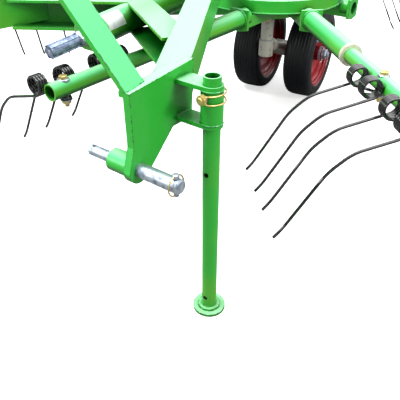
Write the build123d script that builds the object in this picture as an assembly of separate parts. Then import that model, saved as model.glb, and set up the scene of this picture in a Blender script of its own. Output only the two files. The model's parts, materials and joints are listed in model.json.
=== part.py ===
"""Single-rotor rotary hay rake on a three-point headstock, parked on its stands and wheels.

Millimetres, +Z up. The rake is laid out about its rotor: the rotor axis is the vertical line
X = 0, Y = 0, the ground is Z = 0, the tractor is towards -Y and +X is the right-hand side seen
from the tractor. At the end every piece moves by one vector, so that the origin is under the
middle of the whole machine's box.
"""

import os
from math import cos, pi, radians, sin, sqrt, tan

from build123d import *

# Running gear: the wheels set how high everything over them stands
WHEEL_R = 187.0
TYRE_WALL = 58.0
TYRE_WIDTH = 116.0
WHEEL_X = 116.0
WHEEL_Y = 229.0
WHEEL_TURN = 8.3
TYRE_GAP = 22.0
AXLE_R = 12.5
RIM_R = WHEEL_R - TYRE_WALL
COLUMN_R = 24.5
COLUMN_FOOT_R = 26.5
COLUMN_BOTTOM_Z = WHEEL_R + 34.0
COLUMN_FOOT_Z = COLUMN_BOTTOM_Z + 67.0

# Rotor: hub, brackets and arms in their sleeves, and the dish over them
BRACKET_LOW_Z = 2 * WHEEL_R + TYRE_GAP
ARM_RISE = 44.0
TUBE_R = 21.0
ARM_Z = BRACKET_LOW_Z + ARM_RISE
ARM_COUNT = 8
ARM_MISSING = 7
ARM_FIRST_ANGLE = -45.3
ARM_OFFSET = 66.0
TUBE_WALL = 4.0
TUBE_TO = 1100.0
SLEEVE_R = 30.0
SLEEVE_WALL = 5.0
SLEEVE_FROM = 312.0
SLEEVE_TO = 651.0
RING_R = 31.0
RING_WIDTH = 14.0
PLUG_DEPTH = 40.0
BRACKET_WIDTH = 50.0
BRACKET_FROM = 80.0
FLANGE_WIDTH = 72.0
FLANGE_THICK = 10.0
FLANGE_RISE = 33.0
FLANGE_DROP = 40.0
HUB_R = 120.0
HUB_LOW_Z = BRACKET_LOW_Z
DISH_R = 268.0
DISH_WALL = 6.0
DISH_RIM_Z = BRACKET_LOW_Z + 53.0
DISH_RIM_HEIGHT = 44.0
DISH_CROWN_R = 121.0
DISH_CROWN_Z = DISH_RIM_Z + 67.0
NECK_R = 50.0
NECK_TOP_Z = DISH_CROWN_Z + 10.5

# Tines: coils beside the tube, then a wire that trails and drops, places as (out, down)
TINE_PAIRS = (866.0, 1056.0)
TINE_SPACING = 78.0
WIRE_R = 3.7
COIL_R = 26.5
COIL_TURNS = 5
COIL_SIDES = 12
COIL_CENTRE = 48.5
COIL_ANGLE = 8.0
FINGER = ((50.0, 15.5), (161.0, 48.0), (210.0, 91.0), (255.0, 166.0), (298.0, 238.0), (313.0, 255.0))
LOOP = ((13.0, -18.0), (10.0, 8.0), (0.0, 11.0))
ROTOR_TOP_Z = ARM_Z + COIL_CENTRE * sin(radians(COIL_ANGLE)) + COIL_R
SWEEP_GAP = 6.5

# Gearbox over the rotor
GEARBOX_SIZE = 190.0
GEARBOX_BOTTOM_Z = NECK_TOP_Z + 5.5
GEARBOX_HEIGHT = 112.0
GEARBOX_CORNER_R = 18.0
GEARBOX_CAP_R = 74.0
GEARBOX_CAP_HEIGHT = 26.0
GEARBOX_NOSE_R = 47.0
GEARBOX_NOSE_LENGTH = 30.0

# Frame beams, which rise a little towards the rotor
BEAM_SLOPE = 5.0
DRIVE_REF_Y = -835.0
DRIVE_REF_Z = GEARBOX_BOTTOM_Z - 7.0
DRIVE_FRONT_Y = -905.0
DRIVE_TUBE_R = 38.0
DRIVE_TUBE_WALL = 6.0
DRIVE_FLANGE_R = 44.0
DRIVE_FLANGE_THICK = 14.0
SIDE_WIDTH = 64.0
SIDE_HEIGHT = 80.0
SIDE_FRONT_Z = DRIVE_REF_Z - 4.0
SIDE_REAR = (60.0, -465.0)
CHANNEL_HEIGHT = 80.0
CHANNEL_FLANGE = 70.0
CHANNEL_WALL = 7.0
CHANNEL_INNER = (8.0, -727.0)
CHANNEL_OUTER = (232.0, -873.0)
CHANNEL_Z = DRIVE_REF_Z + 6.0
BRACE_WIDTH = 50.0
BRACE_HEIGHT = 30.0
BRACE_FOOT_Y = -430.0

# Hitch: the plates that carry the two lower pins, and the pins, stepped for two sizes of tractor
PIN_Y = -1203.0
PLATE_OUTER_X = 441.0
PLATE_THICK = 16.0
LINER_THICK = 8.0
PLATE_LENGTH = 174.0
PLATE_FRONT_Y = PIN_Y - 11.0
PLATE_REAR_Y = PLATE_FRONT_Y + PLATE_LENGTH
PLATE_TOP_Z = SIDE_FRONT_Z + SIDE_HEIGHT / 2 + 1.0
PLATE_FOOT_Z = SIDE_FRONT_Z - SIDE_HEIGHT / 2 - 10.0
PIN_Z = PLATE_TOP_Z - 141.0
PIN_EYE_R = 27.0
PIN_THICK_R = 14.2
PIN_THICK_LENGTH = 98.0
PIN_THIN_R = 11.0
PIN_THIN_LENGTH = 64.0
PIN_CHAMFER = 3.0
BOSS_R = 22.0
BOSS_LENGTH = 51.0
LINCH_R = 5.5
LINCH_INSET = 12.0
THIN_HOLE_R = 3.5
SIDE_FRONT = (400.0, PLATE_REAR_Y - 20.0)

# A-frame of flat bars up to the top link, its height over the lower pins
MAST_HEIGHT = 583.0
TOP_PIN_Z = PIN_Z + MAST_HEIGHT
TOP_PIN_R = 12.7
TOP_GAP = 52.0
EAR_THICK = 12.0
EAR_LOW_Z = TOP_PIN_Z - 109.0
EAR_BACK_Z = TOP_PIN_Z - 36.0
LEG_WIDTH = 50.0
LEG_THICK = 10.0
LEG_TOP_Z = TOP_PIN_Z - 30.0

# Power take-off stub
PTO_R = 17.4
PTO_ROOT_R = 14.9
PTO_SPLINES = 6
PTO_FRONT_Y = -1039.0
PTO_SHOULDER_R = 19.0
PTO_SHOULDER_LENGTH = 30.0

# Parking stands in sleeves on the hitch plates
STAND_X = 510.0
STAND_Y = PLATE_REAR_Y - 35.0
STAND_R = 17.0
STAND_WALL = 3.2
STAND_TOP_Z = PLATE_TOP_Z + 17.0
SLEEVE_PIPE_R = 21.5
SLEEVE_PIPE_LOW_Z = PLATE_FOOT_Z + 10.0
SLEEVE_PIPE_HIGH_Z = PLATE_TOP_Z + 1.0
STAND_PIN_Z = SLEEVE_PIPE_HIGH_Z - 20.0
STAND_PLATE_THICK = 8.0
FOOT_R = 38.0
FOOT_THICK = 7.0
FOOT_RING_R = 25.5
FOOT_RING_RISE = 5.0
HOLE_R = 5.5
HOLES_Z = (38.0, SLEEVE_PIPE_LOW_Z - 102.0)
PIN_HEAD_GAP = 6.0
PIN_HEAD = 8.0

# Gaps between pieces
SEAT_GAP = 0.1
RUN_GAP = 0.3
SLIDE_GAP = 0.4

# Smaller sizes of the headstock and frame
CAP_RISE = 14.0
CAP_THICK = 10.0
CAP_OVERHANG = 2.0
FOOT_SETBACK = 8.0
HEEL_Y = PLATE_REAR_Y - 65.0
THROAT_RISE = 48.0
EYE_FRONT_ANGLE = 180.0
EYE_REAR_ANGLE = -45.0
LINER_STEP = 24.0
LEG_FOOT_INSET = 2.0
SIDE_OVERRUN = 0.15
CHANNEL_OVERRUN = 0.3
BRACE_OVERRUN = 0.1

# Smaller sizes of the wheels and their carrier
CARRIER_WIDTH = 56.0
CARRIER_BITE = 12.0
CARRIER_TOP_Z = COLUMN_BOTTOM_Z + 109.0
CARRIER_EYE_R = 34.0
CARRIER_EYE_WIDTH = 90.0
COLLAR_R = 41.0
COLLAR_HEIGHT = 44.0
HUB_LENGTH = 120.0
HUB_TUBE_R = 30.0
DISC_THICK = 6.0
DISC_DISH = 18.0
RIM_WALL = 5.0
RIM_LIP = 9.0
RIM_SHARE = 0.72
BEAD_SHARE = 0.4
SHOULDER = 15.0
SHOULDER_POINTS = ((1.0, 0.0), (0.25, 0.6), (0.0, 1.6))
NUT_R = 19.0
NUT_LENGTH = 14.0

MIN_Z = (Align.CENTER, Align.CENTER, Align.MIN)


def rod(start, end, radius):
    """A round bar between two points."""
    along = Vector(*end) - Vector(*start)
    return Plane(origin=start, z_dir=along) * Cylinder(radius, along.length, align=MIN_Z)


def pipe(start, end, radius, wall):
    """A round tube between two points, open at both ends."""
    return rod(start, end, radius) - rod(start, end, radius - wall)


def beam(start, end, width, height):
    """A rectangular bar between two points, its width level."""
    along = Vector(*end) - Vector(*start)
    across = Vector(0, 0, 1).cross(along)
    return Plane(origin=start, x_dir=across, z_dir=along) * Box(width, height, along.length, align=MIN_Z)


def plate_yz(outline, x_low, thick):
    """A plate with its outline in Y and Z, from x_low along +X."""
    return extrude(Plane.YZ.offset(x_low) * make_face(Polyline(*outline, close=True)), thick)


def slab(x, y, z):
    """A box from its low and high values on each axis."""
    size = [high - low for low, high in (x, y, z)]
    return Pos(x[0], y[0], z[0]) * Box(*size, align=(Align.MIN, Align.MIN, Align.MIN))


def turned(outline, axis=Axis.Z):
    """A solid turned about an axis from its outline of radius and height."""
    return revolve(Plane.XZ * make_face(Polyline(*outline, close=True)), axis)


def mirrored(piece):
    """The same piece on the left-hand side."""
    return mirror(piece, about=Plane.YZ)


def beam_z(y):
    """Height of the drive tube's axis at y."""
    return DRIVE_REF_Z + (y - DRIVE_REF_Y) * tan(radians(BEAM_SLOPE))


def eye_point(angle):
    """A point on the round of the hitch eye."""
    return (PIN_Y + PIN_EYE_R * cos(radians(angle)), PIN_Z + PIN_EYE_R * sin(radians(angle)))


def hitch_plate():
    """The right-hand headstock plate: eye plate, liner, cap along the top and the pin's boss."""
    inner_x = PLATE_OUTER_X - PLATE_THICK
    liner_x = inner_x - LINER_THICK
    rear_z = PLATE_TOP_Z + CAP_RISE
    foot = (PLATE_REAR_Y - FOOT_SETBACK, PLATE_FOOT_Z)
    edge = Polyline(
        eye_point(EYE_FRONT_ANGLE),
        (PLATE_FRONT_Y, PIN_Z + THROAT_RISE),
        (PLATE_FRONT_Y, PLATE_TOP_Z),
        (PLATE_REAR_Y, rear_z),
        foot,
        (HEEL_Y, PLATE_FOOT_Z),
        eye_point(EYE_REAR_ANGLE),
    )
    round_end = ThreePointArc(eye_point(EYE_REAR_ANGLE), eye_point(-90), eye_point(EYE_FRONT_ANGLE))
    plate = extrude(Plane.YZ.offset(inner_x) * make_face(Curve() + edge + round_end), PLATE_THICK)
    liner_front = PLATE_FRONT_Y + LINER_STEP
    liner_top = PLATE_TOP_Z + CAP_RISE * LINER_STEP / (PLATE_REAR_Y - PLATE_FRONT_Y)
    plate += plate_yz(
        [(liner_front, liner_top), (PLATE_REAR_Y, rear_z), foot, (liner_front, PLATE_FOOT_Z)], liner_x, LINER_THICK
    )
    cap = [
        (PLATE_FRONT_Y, PLATE_TOP_Z),
        (PLATE_REAR_Y, rear_z),
        (PLATE_REAR_Y, rear_z + CAP_THICK),
        (PLATE_FRONT_Y, PLATE_TOP_Z + CAP_THICK),
    ]
    plate += plate_yz(cap, liner_x - CAP_OVERHANG, PLATE_OUTER_X - liner_x + CAP_OVERHANG)
    plate += rod((inner_x - BOSS_LENGTH, PIN_Y, PIN_Z), (inner_x, PIN_Y, PIN_Z), BOSS_R)
    return plate - rod((0, PIN_Y, PIN_Z), (PLATE_OUTER_X + 1, PIN_Y, PIN_Z), PIN_THIN_R + SEAT_GAP)


def hitch_pin():
    """Stepped lower hitch pin, thick outside for a big tractor's arms and thin inside for a small one's."""
    boss_end_x = PLATE_OUTER_X - PLATE_THICK - BOSS_LENGTH
    thick_end = PLATE_OUTER_X + PIN_THICK_LENGTH
    pin = rod((boss_end_x - PIN_THIN_LENGTH, PIN_Y, PIN_Z), (PLATE_OUTER_X, PIN_Y, PIN_Z), PIN_THIN_R)
    pin += rod((PLATE_OUTER_X, PIN_Y, PIN_Z), (thick_end, PIN_Y, PIN_Z), PIN_THICK_R)
    ends = pin.edges().filter_by(GeomType.CIRCLE).sort_by(Axis.X)
    pin = chamfer([ends[0], ends[-1]], PIN_CHAMFER)
    thin_end = boss_end_x - PIN_THIN_LENGTH
    for x, radius in ((thick_end - LINCH_INSET, LINCH_R + SEAT_GAP), (thin_end + LINCH_INSET, THIN_HOLE_R)):
        pin -= rod((x, PIN_Y, 0), (x, PIN_Y, 2 * PIN_Z), radius)
    return pin


def headstock_leg(bracket):
    """A flat bar that leans inwards from the headstock plate's cap to the top link's ears."""
    top_x = TOP_GAP / 2 + EAR_THICK
    foot_z = PLATE_TOP_Z + CAP_THICK / 2
    foot_x = PLATE_OUTER_X - LEG_FOOT_INSET
    run, rise = foot_x - top_x, LEG_TOP_Z - foot_z
    slant = sqrt(run ** 2 + rise ** 2)
    outline = [
        (foot_x, foot_z),
        (top_x, LEG_TOP_Z),
        (top_x, LEG_TOP_Z - LEG_THICK * slant / run),
        (foot_x - LEG_THICK * slant / rise, foot_z),
    ]
    bar = extrude(Plane.XZ.offset(-PLATE_FRONT_Y) * make_face(Polyline(*outline, close=True)), -LEG_WIDTH)
    return bar - bracket


def top_link_bracket():
    """Two round-topped ears for the top link, above the leaning bars, joined by a back plate."""
    middle_y = PLATE_FRONT_Y + LEG_WIDTH / 2
    back_y = PLATE_FRONT_Y + LEG_WIDTH
    half = TOP_GAP / 2 + EAR_THICK
    bracket = slab((-half, half), (back_y, back_y + EAR_THICK), (EAR_LOW_Z, EAR_BACK_Z))
    for x in (-half, TOP_GAP / 2):
        bracket += slab((x, x + EAR_THICK), (PLATE_FRONT_Y, back_y), (EAR_LOW_Z, TOP_PIN_Z))
        bracket += rod((x, middle_y, TOP_PIN_Z), (x + EAR_THICK, middle_y, TOP_PIN_Z), LEG_WIDTH / 2)
    return bracket - rod((-half - 1, middle_y, TOP_PIN_Z), (half + 1, middle_y, TOP_PIN_Z), TOP_PIN_R)


def side_tube():
    """The right-hand beam of the V frame, from the headstock plate back to the drive tube."""
    (x1, y1), (x2, y2) = SIDE_FRONT, SIDE_REAR
    run = sqrt((x2 - x1) ** 2 + (y2 - y1) ** 2)
    rise = run * tan(radians(BEAM_SLOPE))
    front = Vector(x1, y1, SIDE_FRONT_Z)
    rear = Vector(x2, y2, SIDE_FRONT_Z + rise)
    step = (rear - front) * SIDE_OVERRUN
    tube = beam(front - step, rear + step, SIDE_WIDTH, SIDE_HEIGHT)
    liner_x = PLATE_OUTER_X - PLATE_THICK - LINER_THICK
    tube -= slab((liner_x, 2 * liner_x), (2 * y1, 0), (0, 2 * SIDE_FRONT_Z))
    tube -= slab((-liner_x, 1), (2 * y1, 0), (0, 2 * SIDE_FRONT_Z))
    return tube - drive_core()


def drive_core():
    """The space that the drive tube takes, for the beams that are welded against it."""
    return rod((0, DRIVE_FRONT_Y, beam_z(DRIVE_FRONT_Y)), (0, 0, beam_z(0)), DRIVE_TUBE_R)


def cross_member(side):
    """A channel from the drive tube out to the side beam, its open side to the front."""
    inner = Vector(*CHANNEL_INNER, CHANNEL_Z)
    outer = Vector(*CHANNEL_OUTER, CHANNEL_Z)
    step = (outer - inner) * CHANNEL_OVERRUN
    block = beam(inner, outer + step, CHANNEL_FLANGE, CHANNEL_HEIGHT)
    hollow = beam(inner - step, outer + 2 * step, CHANNEL_FLANGE, CHANNEL_HEIGHT - 2 * CHANNEL_WALL)
    forward = Vector(0, 0, 1).cross(outer - inner).normalized() * (-CHANNEL_WALL)
    channel = block - Pos(*forward) * hollow
    channel -= slab((-CHANNEL_OUTER[0], 1), (2 * CHANNEL_OUTER[1], 0), (0, 2 * CHANNEL_Z))
    return channel - drive_core() - side


def drive_tube():
    """The tube that holds the drive shaft, with a bearing flange at its front."""
    gearbox_front = -GEARBOX_SIZE / 2
    front, back = (0, DRIVE_FRONT_Y, beam_z(DRIVE_FRONT_Y)), (0, 0, beam_z(0))
    tube = pipe(front, back, DRIVE_TUBE_R, DRIVE_TUBE_WALL)
    tube -= slab((-WHEEL_R, WHEEL_R), (gearbox_front, WHEEL_R), (0, 2 * DRIVE_REF_Z))
    along = Vector(0, cos(radians(BEAM_SLOPE)), sin(radians(BEAM_SLOPE)))
    start = Vector(*front) - along * DRIVE_FLANGE_THICK
    tube += rod(start, Vector(*front), DRIVE_FLANGE_R)
    tube -= slab((-WHEEL_R, WHEEL_R), (2 * DRIVE_FRONT_Y, 0), (0, ROTOR_TOP_Z + SWEEP_GAP))
    return tube - rod(start - along, Vector(*front) + along, PTO_ROOT_R + RUN_GAP)


def pto_stub():
    """The splined input shaft: a shoulder outside the flange and a tail inside it."""
    along = Vector(0, cos(radians(BEAM_SLOPE)), sin(radians(BEAM_SLOPE)))
    flange = Vector(0, DRIVE_FRONT_Y, beam_z(DRIVE_FRONT_Y)) - along * DRIVE_FLANGE_THICK
    shoulder = flange - along * RUN_GAP
    length = (shoulder.Y - PTO_FRONT_Y) / along.Y
    nose = shoulder - along * length
    spline = Plane(origin=nose, x_dir=(1, 0, 0), z_dir=along)
    section = Circle(PTO_ROOT_R)
    tooth = pi * PTO_R / PTO_SPLINES
    for index in range(PTO_SPLINES):
        section += Rot(Z=360 * index / PTO_SPLINES) * Pos(PTO_R / 2) * Rectangle(PTO_R, tooth)
    section = section & Circle(PTO_R)
    stub = spline * extrude(section, length - PTO_SHOULDER_LENGTH)
    stub += rod(shoulder - along * PTO_SHOULDER_LENGTH, shoulder, PTO_SHOULDER_R)
    stub += rod(shoulder, flange + along * (2 * DRIVE_FLANGE_THICK), PTO_ROOT_R)
    return stub


def gearbox():
    """The bevel gearbox over the rotor, with a stepped round cover and a nose round the drive tube."""
    half = GEARBOX_SIZE / 2
    top = GEARBOX_BOTTOM_Z + GEARBOX_HEIGHT
    body = slab((-half, half), (-half, half), (GEARBOX_BOTTOM_Z, top))
    body = fillet(body.edges().filter_by(Axis.Z), GEARBOX_CORNER_R)
    body = chamfer(body.faces().sort_by(Axis.Z)[-1].edges(), GEARBOX_CORNER_R / 2)
    body += rod((0, 0, top), (0, 0, top + GEARBOX_CAP_HEIGHT / 2), GEARBOX_CAP_R)
    body += rod((0, 0, top), (0, 0, top + GEARBOX_CAP_HEIGHT), GEARBOX_CAP_R - GEARBOX_CAP_HEIGHT)
    nose_y = -half - GEARBOX_NOSE_LENGTH
    nose_end_y = GEARBOX_CORNER_R - half
    nose = rod((0, nose_y, beam_z(nose_y)), (0, nose_end_y, beam_z(nose_end_y)), GEARBOX_NOSE_R)
    return body + (nose - drive_core())


def brace(side):
    """The strut from the top link's back plate down to the drive tube."""
    start_y = PLATE_FRONT_Y + LEG_WIDTH + EAR_THICK
    top = Vector(0, start_y, EAR_LOW_Z + BRACE_HEIGHT)
    foot = Vector(0, BRACE_FOOT_Y, beam_z(BRACE_FOOT_Y) + DRIVE_TUBE_R)
    step = (foot - top) * BRACE_OVERRUN
    bar = beam(top - step, foot, BRACE_WIDTH, BRACE_HEIGHT)
    bar -= slab((-BRACE_WIDTH, BRACE_WIDTH), (2 * start_y, start_y), (0, 2 * TOP_PIN_Z))
    return bar - drive_core() - side - mirrored(side)


def rotor_dish():
    """The dish: a low cone with a rim, a floor plate for the arm sockets and a neck under the gearbox."""
    low, rim = DISH_RIM_Z, DISH_RIM_Z + DISH_RIM_HEIGHT
    bore = COLUMN_R + RUN_GAP
    wall = DISH_WALL
    outline = [
        (bore, DISH_CROWN_Z - wall),
        (DISH_CROWN_R, DISH_CROWN_Z - wall),
        (DISH_R - wall, rim - wall),
        (DISH_R - wall, low + wall),
        (HUB_R, low + wall),
        (HUB_R, low),
        (DISH_R, low),
        (DISH_R, rim),
        (DISH_CROWN_R, DISH_CROWN_Z),
        (NECK_R, DISH_CROWN_Z),
        (NECK_R, NECK_TOP_Z),
        (bore, NECK_TOP_Z),
    ]
    return turned(outline)


def rotor_hub():
    """The cam housing round the column, under the dish's crown."""
    top = DISH_CROWN_Z - DISH_WALL
    bore = COLUMN_R + RUN_GAP
    outline = [(bore, HUB_LOW_Z), (HUB_R, HUB_LOW_Z), (HUB_R, DISH_RIM_Z + DISH_WALL), (DISH_CROWN_R, top), (bore, top)]
    return turned(outline)


def hub_space():
    """The space of the hub, for the sleeves that are welded against it."""
    return rod((0, 0, HUB_LOW_Z), (0, 0, DISH_RIM_Z), HUB_R)


def on_arm(piece, index):
    """Puts a piece made along +X about the arm's axis where arm number index is."""
    angle = ARM_FIRST_ANGLE - 360.0 / ARM_COUNT * index
    return Rot(Z=angle) * Pos(0, ARM_OFFSET, ARM_Z) * piece


def arm_bracket():
    """The bracket under the dish that carries one arm: a box beam, the socket an arm plugs into and a flange."""
    face_x = SLEEVE_FROM - FLANGE_THICK
    socket_x = SLEEVE_FROM - PLUG_DEPTH
    half = FLANGE_WIDTH / 2
    bracket = slab((BRACKET_FROM, face_x), (-BRACKET_WIDTH / 2, BRACKET_WIDTH / 2), (-SLEEVE_R, DISH_RIM_Z - ARM_Z))
    bracket += rod((socket_x, 0, 0), (face_x, 0, 0), SLEEVE_R)
    corners = [(-half, FLANGE_RISE), (half, FLANGE_RISE), (half, -FLANGE_RISE), (0, -FLANGE_DROP), (-half, -FLANGE_RISE)]
    bracket += plate_yz(corners, face_x, FLANGE_THICK)
    return bracket - rod((socket_x, 0, 0), (SLEEVE_FROM + 1, 0, 0), TUBE_R + SEAT_GAP)


def tine_pair():
    """One double tine made about the arm's axis: two coils, two long fingers and the loop under the bolt."""
    angle = radians(COIL_ANGLE)
    centre = Vector(0, -COIL_CENTRE * cos(angle), COIL_CENTRE * sin(angle))
    length = 2 * WIRE_R * COIL_TURNS
    pair = None
    for side in (-1, 1):
        x = side * TINE_SPACING / 2
        ring = RegularPolygon(COIL_R, COIL_SIDES) - RegularPolygon(COIL_R - 2 * WIRE_R, COIL_SIDES)
        plane = Plane(origin=(x - length / 2, centre.Y, centre.Z), x_dir=(0, 1, 0), z_dir=(1, 0, 0))
        coil = extrude(plane * ring, length)
        finger_x = x + side * (length / 2 - WIRE_R)
        points = [Vector(finger_x, -out, -down) for out, down in FINGER]
        finger = wire_run(points)
        inner_x = x - side * (length / 2 - WIRE_R)
        loop = [
            Vector(inner_x, centre.Y, centre.Z - COIL_R + WIRE_R),
            *[Vector(side * half, y, -TUBE_R - WIRE_R - SEAT_GAP) for half, y in LOOP],
        ]
        half = coil + finger + wire_run(loop)
        pair = half if pair is None else pair + half
    return pair


def wire_run(points):
    """A six-sided wire along straight runs with mitred corners."""
    path = Polyline(*points)
    start = Plane(origin=points[0], z_dir=points[1] - points[0])
    return sweep(start * RegularPolygon(WIRE_R, 6), path=path, transition=Transition.RIGHT)


def column():
    """The pillar from the gearbox down through the hub to the wheel carrier, thicker at its foot."""
    outline = [
        (0, COLUMN_BOTTOM_Z),
        (COLUMN_FOOT_R, COLUMN_BOTTOM_Z),
        (COLUMN_FOOT_R, COLUMN_FOOT_Z),
        (COLUMN_R, COLUMN_FOOT_Z),
        (COLUMN_R, GEARBOX_BOTTOM_Z),
        (0, GEARBOX_BOTTOM_Z),
    ]
    return turned(outline)


def wheel_carrier(pillar):
    """The arm from a collar on the pillar's foot back to a boss, and the axle through it."""
    eye = WHEEL_R + CARRIER_EYE_R * cos(radians(45))
    outline = [
        (COLUMN_R - CARRIER_BITE, CARRIER_TOP_Z),
        (WHEEL_Y + CARRIER_EYE_R * sin(radians(45)), eye),
        (WHEEL_Y, WHEEL_R - CARRIER_EYE_R),
        (COLUMN_R - CARRIER_BITE, COLUMN_BOTTOM_Z),
    ]
    carrier = plate_yz(outline, -CARRIER_WIDTH / 2, CARRIER_WIDTH)
    carrier += rod((0, 0, COLUMN_BOTTOM_Z), (0, 0, COLUMN_BOTTOM_Z + COLLAR_HEIGHT), COLLAR_R)
    half = CARRIER_EYE_WIDTH / 2
    carrier += rod((-half, WHEEL_Y, WHEEL_R), (half, WHEEL_Y, WHEEL_R), CARRIER_EYE_R)
    carrier -= pillar
    reach = WHEEL_X + HUB_LENGTH / 2
    end = reach + NUT_LENGTH
    carrier += rod((-end, WHEEL_Y, WHEEL_R), (end, WHEEL_Y, WHEEL_R), AXLE_R)
    for side in (-1, 1):
        carrier += rod((side * (reach + RUN_GAP), WHEEL_Y, WHEEL_R), (side * end, WHEEL_Y, WHEEL_R), NUT_R)
    return Rot(Z=WHEEL_TURN) * carrier


def about_axle(side, outline):
    """A wheel piece turned about the axle from its outline of radius and distance from the wheel's middle."""
    place = Rot(Z=WHEEL_TURN) * Pos(side * WHEEL_X, WHEEL_Y, WHEEL_R)
    return place * Rot(Y=90 * side) * turned(outline)


def tyre(side):
    """A tyre with rounded shoulders."""
    half = TYRE_WIDTH / 2
    wall = [(RIM_R, half * RIM_SHARE), (RIM_R + TYRE_WALL * BEAD_SHARE, half)]
    wall += [(WHEEL_R - drop * SHOULDER, half - inset * SHOULDER) for drop, inset in SHOULDER_POINTS]
    return about_axle(side, [*wall, *[(radius, -along) for radius, along in reversed(wall)]])


def wheel_rim(side):
    """A pressed rim with rolled lips, and a dished disc with a hub through it."""
    seat = TYRE_WIDTH * RIM_SHARE / 2
    inner = RIM_R - RIM_WALL
    half = [
        (HUB_TUBE_R, HUB_LENGTH / 2),
        (HUB_TUBE_R, DISC_THICK),
        ((HUB_TUBE_R + inner) / 2, DISC_THICK),
        (inner - DISC_DISH / 2, DISC_DISH),
        (inner, DISC_DISH),
        (inner, seat),
        (inner + RIM_LIP, seat + RIM_LIP),
        (inner + RIM_LIP, seat + RIM_LIP + RIM_WALL),
        (RIM_R + RIM_LIP, seat + RIM_LIP + RIM_WALL),
        (RIM_R, seat),
    ]
    bore = AXLE_R + RUN_GAP
    outline = [(bore, HUB_LENGTH / 2), *half, *[(radius, -along) for radius, along in reversed(half)]]
    return about_axle(side, [*outline, (bore, -HUB_LENGTH / 2)])


def stand_bracket():
    """The sleeve of a parking stand with its two plates on the headstock plate."""
    low, high = (STAND_X, STAND_Y, SLEEVE_PIPE_LOW_Z), (STAND_X, STAND_Y, SLEEVE_PIPE_HIGH_Z)
    bracket = rod(low, high, SLEEVE_PIPE_R)
    for z in (SLEEVE_PIPE_LOW_Z, SLEEVE_PIPE_HIGH_Z - STAND_PLATE_THICK):
        bracket += slab(
            (PLATE_OUTER_X, STAND_X), (STAND_Y - SLEEVE_PIPE_R, STAND_Y + SLEEVE_PIPE_R), (z, z + STAND_PLATE_THICK)
        )
    bracket -= rod(low, high, STAND_R + SLIDE_GAP)
    pin_hole = rod((STAND_X, STAND_Y, STAND_PIN_Z), (STAND_X, STAND_Y - STAND_X, STAND_PIN_Z), HOLE_R)
    return bracket - pin_hole


def stand_leg():
    """A parking stand: a tube with cross holes on a round foot."""
    top, low = (STAND_X, STAND_Y, STAND_TOP_Z), (STAND_X, STAND_Y, FOOT_THICK)
    leg = pipe(low, top, STAND_R, STAND_WALL)
    leg += rod((STAND_X, STAND_Y, 0), low, FOOT_R)
    leg += pipe(low, (STAND_X, STAND_Y, FOOT_THICK + FOOT_RING_RISE), FOOT_RING_R, FOOT_RING_R - STAND_R)
    for z in HOLES_Z:
        leg -= rod((STAND_X, STAND_Y - FOOT_R, z), (STAND_X, STAND_Y + FOOT_R, z), HOLE_R)
    return leg


def stand_pin():
    """The stand's locking pin in the sleeve's wall, with its head outside."""
    wall_y = STAND_Y - STAND_R - SLIDE_GAP
    head_y = STAND_Y - SLEEVE_PIPE_R - PIN_HEAD_GAP
    pin = rod((STAND_X, wall_y, STAND_PIN_Z), (STAND_X, head_y, STAND_PIN_Z), HOLE_R - SEAT_GAP)
    return pin + rod((STAND_X, head_y, STAND_PIN_Z), (STAND_X, head_y - PIN_HEAD, STAND_PIN_Z), HOLE_R + PIN_HEAD / 2)


def arms_present():
    """The numbers of the arms that are plugged in."""
    return [index for index in range(ARM_COUNT) if index != ARM_MISSING]


def build():
    """Every piece under its node's name, laid out about the rotor axis."""
    nodes = {}
    bracket = hitch_plate()
    side = side_tube()
    right = {
        "hitch_plate": bracket,
        "hitch_pin": hitch_pin(),
        "headstock_leg": headstock_leg(bracket),
        "side_tube": side,
        "cross_member": cross_member(side),
        "stand_bracket": stand_bracket(),
        "stand_pin": stand_pin(),
        "stand_leg": stand_leg(),
    }
    for name, piece in right.items():
        nodes[name + "_right"] = piece
        nodes[name + "_left"] = mirrored(piece)
    nodes["top_link_bracket"] = top_link_bracket()
    nodes["brace"] = brace(right["side_tube"])
    nodes["drive_tube"] = drive_tube()
    nodes["gearbox"] = gearbox()
    pillar = column()
    nodes["column"] = pillar
    nodes["wheel_carrier"] = wheel_carrier(pillar)
    nodes["pto_stub"] = pto_stub()
    for name, side in (("left", -1), ("right", 1)):
        nodes["tyre_" + name] = tyre(side)
        nodes["wheel_rim_" + name] = wheel_rim(side)
    nodes["rotor_dish"] = rotor_dish()
    nodes["rotor_hub"] = rotor_hub()
    space = hub_space()
    bracket = arm_bracket()
    nodes["arm_brackets"] = Compound([(on_arm(bracket, index) - space) for index in range(ARM_COUNT)])
    sleeve = pipe((SLEEVE_FROM, 0, 0), (SLEEVE_TO, 0, 0), SLEEVE_R, SLEEVE_WALL)
    ring = pipe((SLEEVE_TO, 0, 0), (SLEEVE_TO + RING_WIDTH, 0, 0), RING_R, RING_R - TUBE_R - SEAT_GAP)
    tube = pipe((SLEEVE_FROM - PLUG_DEPTH, 0, 0), (TUBE_TO, 0, 0), TUBE_R, TUBE_WALL)
    sleeves, rings, tubes = [], [], []
    pair = tine_pair()
    for index in arms_present():
        sleeves.append(on_arm(sleeve, index))
        rings.append(on_arm(ring, index))
        tubes.append(on_arm(tube, index))
        nodes[f"tines_{index}"] = Compound([on_arm(Pos(at, 0, 0) * pair, index) for at in TINE_PAIRS])
    nodes["arm_sleeves"] = Compound(sleeves)
    nodes["sleeve_rings"] = Compound(rings)
    nodes["arm_tubes"] = Compound(tubes)
    return nodes


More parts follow.
